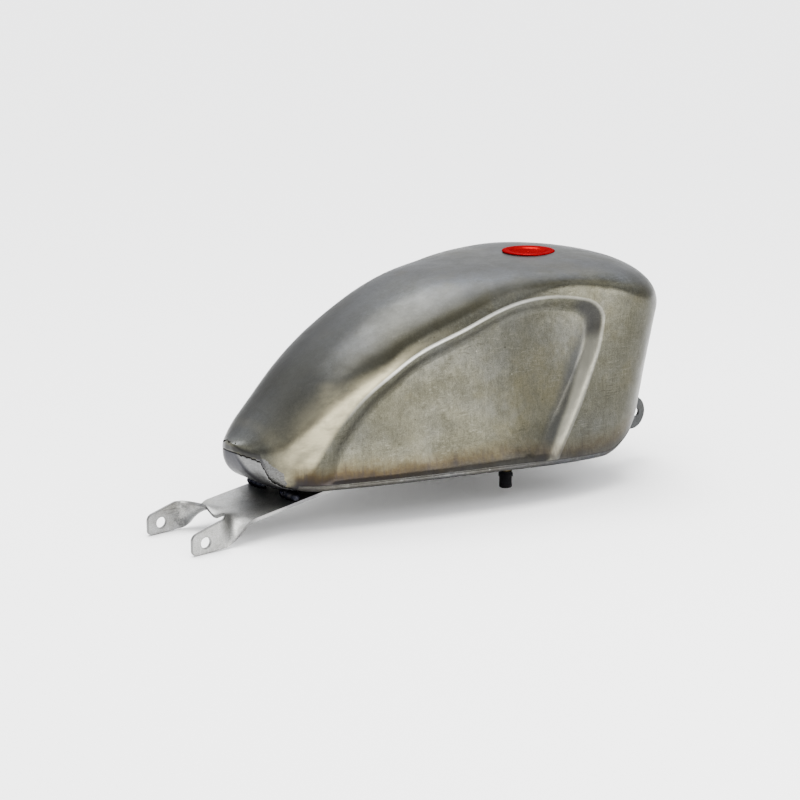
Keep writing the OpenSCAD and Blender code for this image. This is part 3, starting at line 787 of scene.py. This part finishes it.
class Nodes:
    """Short names for building a node tree. Textures are placed by the object's own metres."""

    def __init__(self, name):
        self.mat = bpy.data.materials.new(name)
        self.mat.use_nodes = True
        self.tree = self.mat.node_tree
        self.tree.nodes.clear()
        self.out = self.new("ShaderNodeOutputMaterial")
        self.bsdf = self.new("ShaderNodeBsdfPrincipled")
        self.link(self.bsdf.outputs[0], self.out.inputs[0])
        self.obj = self.new("ShaderNodeTexCoord").outputs["Object"]

    def new(self, kind, **props):
        node = self.tree.nodes.new(kind)
        for key, value in props.items():
            setattr(node, key, value)
        return node

    def link(self, a, b):
        self.tree.links.new(a, b)

    def put(self, socket, value):
        if isinstance(value, bpy.types.NodeSocket):
            self.link(value, socket)
        else:
            socket.default_value = value

    def set(self, **constants):
        """Constants on the shader: Metallic=1.0, Roughness=0.75 and so on."""
        for key, value in constants.items():
            self.bsdf.inputs[key.replace("_", " ")].default_value = value

    def math(self, op, *values):
        n = self.new("ShaderNodeMath", operation=op)
        for socket, value in zip(n.inputs, values):
            self.put(socket, value)
        return n.outputs[0]

    def mul(self, first, *rest):
        for value in rest:
            first = self.math("MULTIPLY", first, value)
        return first

    def add(self, a, b):
        return self.math("ADD", a, b)

    def mapping(self, scale=(1, 1, 1), rot=(0, 0, 0), loc=(0, 0, 0)):
        n = self.new("ShaderNodeMapping")
        self.link(self.obj, n.inputs["Vector"])
        n.inputs["Scale"].default_value = scale
        n.inputs["Rotation"].default_value = rot
        n.inputs["Location"].default_value = loc
        return n.outputs[0]

    def noise(self, scale, detail=4.0, rough=0.55, vec=None, dist=0.0):
        n = self.new("ShaderNodeTexNoise")
        self.link(vec or self.obj, n.inputs["Vector"])
        n.inputs["Scale"].default_value = scale
        n.inputs["Detail"].default_value = detail
        n.inputs["Roughness"].default_value = rough
        n.inputs["Distortion"].default_value = dist
        return n.outputs[0]

    def jitter(self, scale, detail, rough, width):
        """Noise about 0, for an uneven edge or finish."""
        return self.mul(self.math("SUBTRACT", self.noise(scale, detail, rough), 0.5), width)

    def range(self, v, a, b, c=0.0, d=1.0, smooth=True):
        n = self.new("ShaderNodeMapRange", interpolation_type="SMOOTHSTEP" if smooth else "LINEAR")
        for key, value in (("Value", v), ("From Min", a), ("From Max", b), ("To Min", c), ("To Max", d)):
            self.put(n.inputs[key], value)
        return n.outputs[0]

    def bell(self, v, foot, top, top_end, foot_end):
        """1 between top and top_end, falling to 0 at either foot."""
        return self.mul(self.range(v, foot, top), self.range(v, foot_end, top_end))

    def mix(self, fac, a, b, mode="MIX"):
        n = self.new("ShaderNodeMix", data_type="RGBA", blend_type=mode)
        self.put(n.inputs[0], fac)
        for socket, value in ((n.inputs[6], a), (n.inputs[7], b)):
            self.put(socket, (*value, 1.0) if isinstance(value, tuple) else value)
        return n.outputs[2]

    def paint(self, col, colour, *masks):
        """Lays a colour over col as strongly as the product of the masks."""
        return self.mix(self.mul(*masks), col, colour)

    def shade(self, col, fac, low, high):
        return self.mix(1.0, col, self.mix(fac, low, high), "MULTIPLY")

    def attr(self, name):
        return self.new("ShaderNodeAttribute", attribute_name=name).outputs["Fac"]

    def ramp(self, fac, stops):
        n = self.new("ShaderNodeValToRGB")
        self.put(n.inputs[0], fac)
        set_stops(n.color_ramp, stops)
        return n.outputs[0]

    def bump(self, height, strength, distance, normal=None):
        n = self.new("ShaderNodeBump")
        n.inputs["Strength"].default_value = strength
        n.inputs["Distance"].default_value = distance
        self.link(height, n.inputs["Height"])
        if normal is not None:
            self.link(normal, n.inputs["Normal"])
        return n.outputs[0]

    def scratches(self, angle, seed, freq=2600.0, stretch=0.012, lo=0.72, hi=0.80):
        """Thin straight marks in one direction, broken up by a coarse noise."""
        v = self.mapping((stretch, 1.0, 1.0), (0.0, angle, 0.4), (seed, seed * 1.7, seed * 0.6))
        lines = self.range(self.noise(freq, 1.0, 0.4, vec=v), lo, hi)
        coarse = self.noise(26.0, 2.0, 0.5, vec=self.mapping(loc=(seed * 3, seed, seed * 2)))
        return self.mul(lines, self.range(coarse, 0.50, 0.66))

    def finish(self, col, rough, normal):
        self.put(self.bsdf.inputs["Base Color"], col)
        self.put(self.bsdf.inputs["Roughness"], rough)
        self.put(self.bsdf.inputs["Normal"], normal)
        return self.mat


def set_stops(color_ramp, stops):
    while len(color_ramp.elements) < len(stops):
        color_ramp.elements.new(0.5)
    for element, (position, colour) in zip(color_ramp.elements, stops):
        element.position = position
        element.color = (*colour, 1.0)


def stains(m, col, blotch, amount):
    """Blotches of oil and water, pale patches and a yellow cast."""
    pale = m.noise(70.0, 4.0, 0.7, vec=m.mapping(loc=(2.2, 0.7, 1.1)))
    yellow = m.noise(14.0, 4.0, 0.65, vec=m.mapping(loc=(5.1, 1.4, 3.3)))
    col = m.paint(col, (0.20, 0.195, 0.165), m.range(blotch, 0.42, 0.62), 0.42 * amount)
    col = m.paint(col, (0.42, 0.42, 0.39), m.range(pale, 0.56, 0.70), 0.42 * amount)
    return m.paint(col, (0.31, 0.285, 0.20), m.range(yellow, 0.52, 0.68), 0.45 * amount)


def wear(m, col, amount):
    """Fine bright scratches, broader light and dark marks, brushing and grit."""
    fine = m.scratches(0.35, 1.3)
    for angle, seed in ((1.2, 4.1), (-0.7, 7.9), (2.3, 11.2)):
        fine = m.math("MAXIMUM", fine, m.scratches(angle, seed))
    fine = m.mul(fine, 0.55 * amount)
    col = m.mix(fine, col, (0.55, 0.55, 0.54))
    broad = [m.scratches(angle, seed, 750.0, 0.045, 0.60, 0.70) for angle, seed in ((0.8, 2.2), (-0.3, 9.4))]
    col = m.paint(col, (0.52, 0.52, 0.50), m.math("MAXIMUM", *broad), 0.34 * amount)
    worn = m.scratches(1.7, 5.5, 600.0, 0.06, 0.58, 0.70)
    col = m.paint(col, (0.10, 0.095, 0.08), worn, 0.45 * amount)
    brushed = m.range(m.noise(620.0, 3.0, 0.6, vec=m.mapping(scale=(1.0, 1.0, 0.07))), 0.34, 0.66)
    col = m.shade(col, brushed, (0.93, 0.93, 0.925), grey(1.07))
    col = m.shade(col, m.range(m.noise(1500.0, 2.0, 0.7), 0.30, 0.70), grey(0.72), grey(1.28))
    col = m.shade(col, m.range(m.noise(240.0, 4.0, 0.7), 0.34, 0.66), (0.91, 0.91, 0.90), grey(1.09))
    return col, fine


def specks(m, col):
    """Small bright and dark round specks, each in its own cell of a pattern."""
    cells = m.new("ShaderNodeTexVoronoi")
    m.link(m.obj, cells.inputs["Vector"])
    cells.inputs["Scale"].default_value = 80.0
    cells.inputs["Randomness"].default_value = 1.0
    spot = m.range(cells.outputs["Distance"], 0.045, 0.09, 1.0, 0.0)
    pick = m.new("ShaderNodeSeparateColor")
    m.link(cells.outputs["Color"], pick.inputs[0])
    col = m.paint(col, (0.72, 0.72, 0.70), spot, m.range(pick.outputs[0], 0.80, 0.82), 0.6)
    return m.paint(col, (0.06, 0.055, 0.045), spot, m.range(pick.outputs[1], 0.80, 0.82), 0.7)


def steel(name, cool=(0.30, 0.305, 0.315), warm=(0.275, 0.27, 0.235), rough=0.34, stain=1.0,
          extra=None, scratch=1.0, dim=0.24, tint=0.66):
    """Bare steel. dim scales the colour, tint the reflection at a shallow angle."""
    m = Nodes(name)
    m.set(Metallic=1.0, Specular_Tint=(tint, tint, tint, 1.0))
    blotch = m.noise(38.0, 5.0, 0.62, dist=0.4)
    col = m.mix(m.range(m.noise(9.0, 5.0, 0.6), 0.36, 0.64), cool, warm)
    col = stains(m, col, blotch, stain)
    col, fine = wear(m, col, scratch)
    col = specks(m, col)
    rgh = m.range(blotch, 0.3, 0.7, rough - 0.05, rough + 0.07, smooth=False)
    rgh = m.math("SUBTRACT", m.add(rgh, m.jitter(420.0, 3.0, 0.6, 0.10)), m.mul(fine, 0.08))
    if extra:
        col, rgh = extra(m, col, rgh)
    normal = m.bump(m.noise(1400.0, 3.0, 0.6), 0.16, 0.0002)
    normal = m.bump(m.noise(75.0, 4.0, 0.6), 0.30, 0.0006, normal)
    normal = m.bump(fine, 0.12, 0.0002, normal)
    return m.finish(m.mix(1.0, col, grey(dim), "MULTIPLY"), rgh, normal)


def place(m):
    """The point's own x and z on the object, in metres."""
    split = m.new("ShaderNodeSeparateXYZ")
    m.link(m.obj, split.inputs[0])
    return split.outputs[0], split.outputs[2]


def dish_marks(m, col):
    """Painted light on the dished panel: painted shade on the flank, a golden painted highlight, a dark
    greenish-brown line of painted shade, and painted highlights on the crest and the pale front step.
    """
    x, z = place(m)
    inside = m.attr("dish_in")
    front = m.attr("dish_front")
    s_in = m.add(inside, m.jitter(30.0, 3.0, 0.6, 3.0))
    rear = m.range(front, 0.45, 0.15)
    # painted shade: the flank above the dish is darker toward the tail
    off_the_top = m.range(m.attr("up"), 0.96, 0.86)
    toward_tail = m.mul(m.range(x, 0.44, 0.34), m.range(x, 0.055, 0.11, 0.4, 1.0))
    col = m.paint(col, (0.13, 0.13, 0.12), m.range(s_in, -11.0, -22.0), toward_tail, off_the_top, 0.72)
    # a painted golden highlight above the crest, wide by the tail and narrow forward, broken up by a
    # stretched noise
    reach = m.add(m.range(x, 0.085, 0.125, 22.0, 0.0), m.range(x, 0.10, 0.20, 27.0, 10.0))
    above = m.math("DIVIDE", s_in, reach)
    highlight_streaks = m.noise(55.0, 4.0, 0.7, vec=m.mapping((0.35, 1.0, 1.0), (0.0, 0.7, 0.0)))
    gold_highlight = m.mul(m.range(above, -1.25, -0.45), m.range(s_in, 1.5, -5.0), rear)
    gold_highlight = m.mul(gold_highlight, m.bell(x, 0.070, 0.094, 0.17, 0.28), m.range(highlight_streaks, 0.30, 0.60, 0.45, 1.0))
    col = m.paint(col, (1.6, 1.45, 0.95), gold_highlight, 0.80)
    # a dark greenish-brown line of painted shade over it
    olive_shade = m.mul(m.bell(above, -2.2, -1.45, -1.2, -0.75), rear, m.bell(x, 0.13, 0.20, 0.34, 0.42))
    col = m.paint(col, (0.075, 0.07, 0.045), olive_shade, 0.7)
    # painted highlight along the crest
    along = m.add(m.mul(m.bell(x, 0.13, 0.22, 0.30, 0.39), 0.62), m.range(x, 0.14, 0.30, 0.0, 0.12))
    col = m.paint(col, (2.4, 2.4, 2.25), m.bell(inside, -1.6, -0.2, 0.9, 3.0), along, 0.85)
    # painted highlight on the pale front step, painted shade in its bluish toe, fading out toward a corner
    # of painted shade at its top
    low = m.mul(m.range(z, 0.172, 0.128), m.range(front, 0.50, 0.90))
    col = m.paint(col, (1.10, 1.07, 0.88), m.bell(s_in, 0.5, 3.5, 8.5, 15.0), low, 0.75)
    toe_shade = m.mul(m.range(z, 0.178, 0.150), m.range(front, 0.5, 0.8))
    col = m.paint(col, (0.14, 0.148, 0.165), m.bell(s_in, 9.0, 14.0, 18.0, 30.0), toe_shade, 0.6)
    # painted shade in the dish's top front corner
    corner = m.mul(m.bell(s_in, 0.0, 4.0, 9.0, 16.0), m.range(z, 0.142, 0.158), m.range(x, 0.392, 0.408))
    return m.paint(col, SMUDGE_AND_SHADE, corner, 0.7)


def heat_tint(m, col):
    """Straw, brown and blue-grey left by welding the lower seam, with upright streaks in it."""
    x, _ = place(m)
    rise = m.add(m.attr("rise"), m.add(m.jitter(60.0, 4.0, 0.6, 16.0), m.jitter(7.0, 2.0, 0.5, 22.0)))
    tint = m.ramp(m.range(rise, -2.0, 36.0, smooth=False), [
        (0.0, (0.20, 0.20, 0.22)), (0.20, (0.12, 0.115, 0.125)), (0.38, (0.085, 0.068, 0.060)),
        (0.56, (0.17, 0.12, 0.06)), (0.80, (0.30, 0.25, 0.14)), (1.0, (0.30, 0.28, 0.22))])
    amount = m.mul(m.range(rise, 38.0, 14.0), m.range(x, 0.10, 0.40, 1.0, 0.6), m.range(x, 0.082, 0.098))
    col = m.paint(col, tint, amount, 0.97)
    streaks = m.range(m.noise(300.0, 2.0, 0.5, vec=m.mapping(scale=(1.0, 1.0, 0.06))), 0.45, 0.7)
    return m.paint(col, (0.09, 0.08, 0.09), streaks, amount, 0.45)


def shell_extra(m, col, rgh):
    """Painted reflection, cool on faces turned up and warm on the sides; the dish, the heat tint, the ground
    patch beside the tail, and the smudge over its crack.
    """
    # painted reflection: faces turned up are tinted a cool blue-grey, the sides a warm yellowish grey
    up = m.range(m.add(m.attr("up"), m.jitter(12.0, 3.0, 0.6, 0.16)), 0.58, 0.86)
    col = m.shade(col, up, (1.02, 1.0, 0.84), (0.96, 1.0, 1.06))
    col = heat_tint(m, dish_marks(m, col))
    x, _ = place(m)
    # ground patch with a ragged edge
    patch = m.range(m.add(m.attr("patch_d"), m.jitter(160.0, 4.0, 0.7, 9.0)), -0.3, 0.5)
    grind = m.noise(900.0, 2.0, 0.5, vec=m.mapping((0.10, 1.0, 1.0), (0.0, 0.9, 0.0)))
    col = m.paint(col, m.mix(m.range(grind, 0.35, 0.65), grey(0.30), grey(0.50)), patch, 0.9)
    # dark smudge and the crack itself
    above = m.add(m.attr("tail_d"), m.jitter(90.0, 3.0, 0.6, 5.0))
    col = m.paint(col, SMUDGE_AND_SHADE, m.bell(above, 0.5, 2.0, 4.5, 9.0), m.range(x, 0.074, 0.068), 0.75)
    crack = m.range(m.math("ABSOLUTE", m.attr("tail_d")), 0.9, 0.45)
    col = m.mix(crack, col, CRACK_BLACK)
    lip = m.range(m.math("ABSOLUTE", m.attr("seam_d")), 1.1, 0.4)
    col = m.paint(col, (0.12, 0.115, 0.11), lip, 0.25)
    return col, m.math("SUBTRACT", m.add(rgh, m.mul(crack, 0.4)), m.mul(patch, 0.06))


def tail_extra(m, col, rgh):
    """Coarse grinding, pits, the crack, and a dark lower edge."""
    grind = m.noise(700.0, 3.0, 0.6, vec=m.mapping((0.12, 0.5, 1.0), (0.3, 0.5, 0.2)))
    col = m.mix(0.65, col, m.mix(m.range(grind, 0.32, 0.68), grey(0.44), (0.64, 0.64, 0.645)))
    col = m.paint(col, (0.16, 0.155, 0.15), m.range(m.noise(330.0, 3.0, 0.7), 0.64, 0.72), 0.6)
    crack = m.range(m.math("ABSOLUTE", m.attr("tail_d")), 0.9, 0.45)
    col = m.mix(crack, col, CRACK_BLACK)
    col = m.paint(col, (0.10, 0.10, 0.125), m.range(m.attr("rise"), 5.0, 0.5), 0.8)
    return col, m.add(rgh, m.mul(crack, 0.4))


def bracket_extra(m, col, rgh):
    """Sheared edges, painted shade where the left ear bends, and a painted shadow where the strap runs under
    the tank by the weld.
    """
    along = m.attr("along")
    leg = m.range(along, 60.0, 50.0)
    col = m.paint(col, m.mix(leg, (0.60, 0.60, 0.59), grey(0.10)), m.range(m.attr("edge_d"), 1.0, 0.1), 0.6)
    # painted shade in the fold at the root of the left ear, broken up by noise
    from_bend = m.math("ABSOLUTE", m.math("SUBTRACT", along, 20.0))
    bend_shade = m.mul(m.range(from_bend, 11.0, 4.0), m.range(m.attr("across"), 10.0, 16.0))
    col = m.paint(col, grey(0.09), m.range(m.noise(120.0, 4.0, 0.7), 0.42, 0.60), bend_shade, 0.75)
    # painted shadow on the strap where it runs under the tank
    return m.paint(col, (0.09, 0.09, 0.11), m.bell(along, 78.0, 96.0, 118.0, 150.0), 0.6), rgh


def weld_extra(m, col, rgh):
    """Blue-black weld metal in place of the steel's own colour, darkened further as painted shade so the
    welds under the tank sink into its shadow.
    """
    col = m.ramp(m.noise(180.0, 3.0, 0.6), [
        (0.30, (0.02, 0.022, 0.03)), (0.46, (0.05, 0.055, 0.08)),
        (0.58, (0.09, 0.09, 0.11)), (0.72, (0.20, 0.19, 0.19))])
    return col, m.add(rgh, 0.02)


def plastic():
    m = Nodes("plug_plastic")
    m.set(Metallic=0.5, Specular_IOR_Level=0.0, Specular_Tint=(0.40, 0.001, 0.007, 1.0))
    faded = m.range(m.noise(60.0, 3.0, 0.5), 0.35, 0.65)
    col = m.mix(faded, (0.150, 0.0003, 0.0030), (0.180, 0.0004, 0.0040))
    rgh = m.range(m.noise(300.0, 3.0, 0.6), 0.3, 0.7, 0.22, 0.34, smooth=False)
    return m.finish(col, rgh, m.bump(m.noise(240.0, 3.0, 0.6), 0.10, 0.0003))


def rubber():
    m = Nodes("cap_rubber")
    m.set(Specular_IOR_Level=0.03, Specular_Tint=(0.3, 0.3, 0.3, 1.0))
    worn = m.range(m.noise(220.0, 4.0, 0.6), 0.35, 0.7)
    col = m.mix(worn, (0.0022, 0.0022, 0.0026), (0.0045, 0.0045, 0.005))
    rgh = m.range(m.noise(500.0, 3.0, 0.6), 0.3, 0.7, 0.48, 0.66, smooth=False)
    return m.finish(col, rgh, m.bump(m.noise(1600.0, 2.0, 0.6), 0.18, 0.0002))


def brass():
    """Aged brass, darkened nearly to black as painted shade under the tank."""
    m = Nodes("outlet_brass")
    m.set(Metallic=1.0, Specular_Tint=(0.2, 0.2, 0.2, 1.0))
    turned = m.noise(900.0, 2.0, 0.5, vec=m.mapping(scale=(0.05, 0.05, 1.0)))
    col = m.mix(m.range(turned, 0.3, 0.7), (0.030, 0.023, 0.012), (0.050, 0.039, 0.021))
    rgh = m.range(m.noise(120.0, 3.0, 0.6), 0.3, 0.7, 0.24, 0.40, smooth=False)
    return m.finish(col, rgh, m.bump(turned, 0.15, 0.0002))


shell_steel = steel("raw_steel", extra=shell_extra, dim=0.185, tint=0.88)
pan_steel = steel("pan_steel", (0.21, 0.215, 0.235), (0.19, 0.18, 0.165), 0.40)
tail_steel = steel("ground_steel", (0.42, 0.42, 0.42), (0.40, 0.40, 0.385), 0.36, 0.5, tail_extra)
bracket_steel = steel("bracket_steel", (0.48, 0.485, 0.49), (0.45, 0.45, 0.44), 0.42, 0.5, bracket_extra,
                      dim=0.56, tint=1.0)
tab_steel = steel("tab_steel", (0.20, 0.205, 0.21), (0.19, 0.19, 0.185), 0.5, 0.5, scratch=0.4)
weld_steel = steel("weld_steel", rough=0.40, extra=weld_extra, dim=0.20, tint=0.25)
seam_steel = steel("seam_steel", (0.24, 0.24, 0.25), (0.22, 0.21, 0.19), 0.42)
inner_steel = steel("inner_steel", (0.30, 0.30, 0.30), (0.27, 0.26, 0.24), 0.45)
# the outlet bung is made dark as painted shade under the tank
bung_steel = steel("bung_steel", (0.12, 0.12, 0.125), (0.11, 0.11, 0.11), 0.45, 0.4, scratch=0.4)
neck_steel = steel("neck_steel", (0.60, 0.60, 0.60), (0.55, 0.55, 0.52), 0.28, 0.4)


def dress(obj, mat):
    obj.data.materials.clear()
    obj.data.materials.append(mat)


SKIN_LOOKS = {"shell": shell_steel, "pan": pan_steel, "tail": tail_steel}
for key, piece in skin.items():
    dress(piece, SKIN_LOOKS[key.split("_")[-1]])
dress(bracket, bracket_steel)
dress(plug, plastic())
dress(cap, rubber())
for obj in bpy.context.scene.objects:
    if obj.get("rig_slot") == "weld_steel":
        dress(obj, seam_steel if obj.name.endswith("_seam_bead") else weld_steel)
CAD_LOOKS = {"tunnel_channel": pan_steel, "slosh_baffle": inner_steel, "filler_neck": neck_steel,
             "outlet_bung": bung_steel, "outlet_spigot": brass(),
             "left_front_tab": tab_steel, "right_front_tab": tab_steel}
for node, mat in CAD_LOOKS.items():
    obj = frame["nodes"][node]
    for slot in obj.material_slots:
        slot.material = mat
    if node.endswith("_tab"):
        bevel = obj.modifiers.new("edge", "BEVEL")
        bevel.width, bevel.segments, bevel.limit_method = 0.35 * MM, 2, "ANGLE"
        bevel.angle_limit = math.radians(50)

# ---------------------------------------------------------------- stage
FLOOR_HALF, FLOOR_GAP = 14.0, 0.0002
SKY_STRENGTH = 1.1
# colour by the sine of the height in the sky: 0 is the horizon and all below it, 1 is overhead
SKY_STOPS = [
    (0.0, (1.1, 1.11, 1.13)), (0.50, (1.1, 1.11, 1.13)), (0.57, (3.0, 3.02, 3.06)), (0.63, (3.1, 3.14, 3.2)),
    (0.72, (2.4, 2.44, 2.5)), (0.80, (1.8, 1.82, 1.86)), (0.90, (1.6, 1.6, 1.6)), (1.0, (2.8, 2.8, 2.8))]
SUN_ENERGY, SUN_ANGLE, SUN_FROM = 5.6, 36, (0.10, 0.30, 1.0)

floor_z = min(cad_lo[2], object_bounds()[0][2]) - FLOOR_GAP
corners = [(x * FLOOR_HALF, y * FLOOR_HALF, floor_z) for x, y in ((-1, -1), (1, -1), (1, 1), (-1, 1))]
floor_mesh = bpy.data.meshes.new("floor")
floor_mesh.from_pydata(corners, [], [(0, 1, 2, 3)])
floor = bpy.data.objects.new("floor", floor_mesh)
bpy.context.scene.collection.objects.link(floor)
pale = Nodes("floor_pale")
pale.set(Base_Color=(0.93, 0.93, 0.93, 1), Roughness=0.75, Specular_IOR_Level=0.1)
dress(floor, pale.mat)


def studio_sky():
    """Light from all round, brightest some 35 to 40 degrees up."""
    world = bpy.data.worlds.new("studio")
    world.use_nodes = True
    tree = world.node_tree
    tree.nodes.clear()
    out = tree.nodes.new("ShaderNodeOutputWorld")
    background = tree.nodes.new("ShaderNodeBackground")
    coords = tree.nodes.new("ShaderNodeTexCoord")
    split = tree.nodes.new("ShaderNodeSeparateXYZ")
    ramp = tree.nodes.new("ShaderNodeValToRGB")
    tree.links.new(coords.outputs["Generated"], split.inputs[0])
    tree.links.new(split.outputs[2], ramp.inputs[0])
    tree.links.new(ramp.outputs[0], background.inputs["Color"])
    tree.links.new(background.outputs[0], out.inputs[0])
    set_stops(ramp.color_ramp, SKY_STOPS)
    background.inputs["Strength"].default_value = SKY_STRENGTH
    return world


def put_light(name, data, back):
    """Adds a light that shines the opposite way to the direction back."""
    obj = bpy.data.objects.new(name, data)
    bpy.context.scene.collection.objects.link(obj)
    obj.rotation_mode = "QUATERNION"
    obj.rotation_quaternion = back.to_track_quat("Z", "Y")
    return obj


def softbox(name, loc, target, size_x, size_y, radiance, color):
    data = bpy.data.lights.new(name, "AREA")
    data.shape = "RECTANGLE"
    data.size, data.size_y = size_x, size_y
    data.energy = math.pi * size_x * size_y * radiance
    data.color = color
    obj = put_light(name, data, Vector(loc) - Vector(target))
    obj.location = loc
    obj.visible_camera = False


bpy.context.scene.world = studio_sky()
sun = bpy.data.lights.new("sky", "SUN")
sun.energy, sun.angle = SUN_ENERGY, math.radians(SUN_ANGLE)
put_light("sky", sun, Vector(SUN_FROM))
softbox("overhead", (0.1, -0.35, 1.7), (0.26, 0.0, 0.08), 1.2, 0.8, 10, (1.0, 0.99, 0.97))
softbox("side", (0.35, -1.5, 0.22), (0.4, -0.1, 0.1), 0.9, 0.42, 14, (1.0, 0.98, 0.94))

# ---------------------------------------------------------------- camera
cam = bpy.data.cameras.new("cam")
cam.lens, cam.sensor_width = 90, 36
cam_obj = bpy.data.objects.new("cam", cam)
bpy.context.scene.collection.objects.link(cam_obj)
CAM_DISTANCE = 2.0
az, el = math.radians(-38), math.radians(14.2)
back = Vector((math.sin(az) * math.cos(el), -math.cos(az) * math.cos(el), math.sin(el)))
aim = Vector((0.25773, 0.0, 0.08718))
cam_obj.location = aim + back * CAM_DISTANCE
cam_obj.rotation_mode = "QUATERNION"
cam_obj.rotation_quaternion = back.to_track_quat("Z", "Y")
bpy.context.scene.camera = cam_obj
